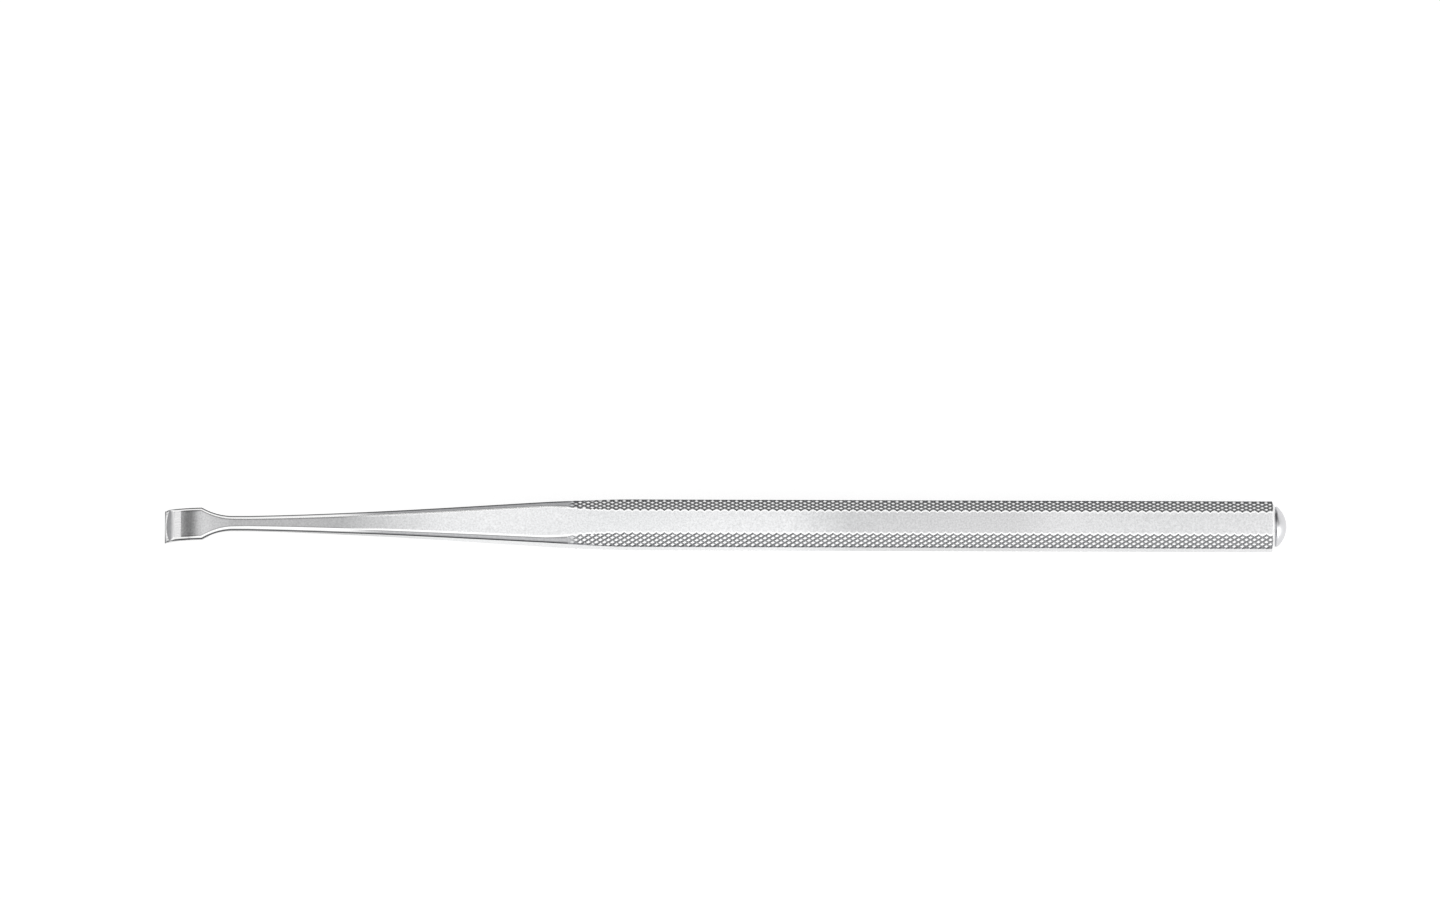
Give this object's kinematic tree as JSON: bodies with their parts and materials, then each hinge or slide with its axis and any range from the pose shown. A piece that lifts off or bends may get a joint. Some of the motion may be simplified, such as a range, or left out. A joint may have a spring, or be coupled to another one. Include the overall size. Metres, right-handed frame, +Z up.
{
  "type": "lacrimal chisel",
  "caption": "One-piece steel lacrimal chisel: thin curved blade with a bevelled edge, slim tapering shank, octagonal handle with knurled corner facets and a domed butt.",
  "frame": {"origin": "middle of the tool's length, on the surface that it lies on", "axes": "+X along the tool from the cutting edge towards the butt, +Z up, the blade bending down, and the XZ plane is the plane of symmetry"},
  "size_m": [0.14, 0.006, 0.0064],
  "materials": {
    "satin_steel": "satin"
  },
  "bodies": {
    "root": {"chisel": "satin_steel"}
  },
  "joints": []
}
